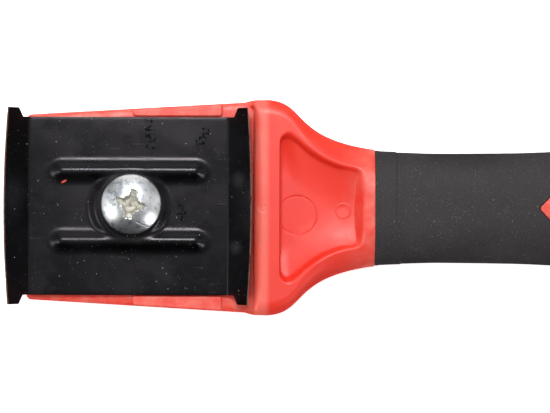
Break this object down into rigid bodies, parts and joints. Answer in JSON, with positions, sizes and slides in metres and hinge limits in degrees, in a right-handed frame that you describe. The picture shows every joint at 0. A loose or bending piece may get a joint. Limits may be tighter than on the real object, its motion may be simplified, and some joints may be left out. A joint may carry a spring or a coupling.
{
  "type": "floor scraper",
  "caption": "Two-edge pull scraper for floors: flanged steel blade screwed to a moulded handle with a rubber grip and a hang hole.",
  "frame": {"origin": "middle of the footprint, on the surface that the tool lies on with its blade side up", "axes": "+X from the front cutting edge to the butt, +Z out of the scraping side"},
  "size_m": [0.245, 0.0698, 0.0289],
  "materials": {
    "core_plastic": "satin moulded red polypropylene",
    "grip_rubber": "matt black overmoulded rubber",
    "nut_zinc": "zinc plated",
    "blade_steel": "black oxide with bare ground edges",
    "washer_zinc": "zinc plated spring steel",
    "screw_zinc": "zinc plated, worn recess"
  },
  "bodies": {
    "handle": {"handle_core": "core_plastic", "grip": "grip_rubber", "hex_nut": "nut_zinc"},
    "blade": {"blade": "blade_steel", "lock_washer": "washer_zinc"},
    "screw": {"blade_screw": "screw_zinc"}
  },
  "joints": [
    {"name": "blade_lift", "type": "slide", "parent": "handle", "child": "blade", "axis": [0, 0, 1], "range_m": [0, 0.00625]},
    {"name": "screw_turn", "type": "hinge", "parent": "blade", "child": "screw", "pos_m": [-0.08165, 0.001, 0.02], "axis": [0, 0, 1], "range_deg": [0, 1800.5]}
  ],
  "couplings": [
    {"joint": "screw_turn", "follows": "blade_lift", "rad_per_m": 5026.5}
  ]
}
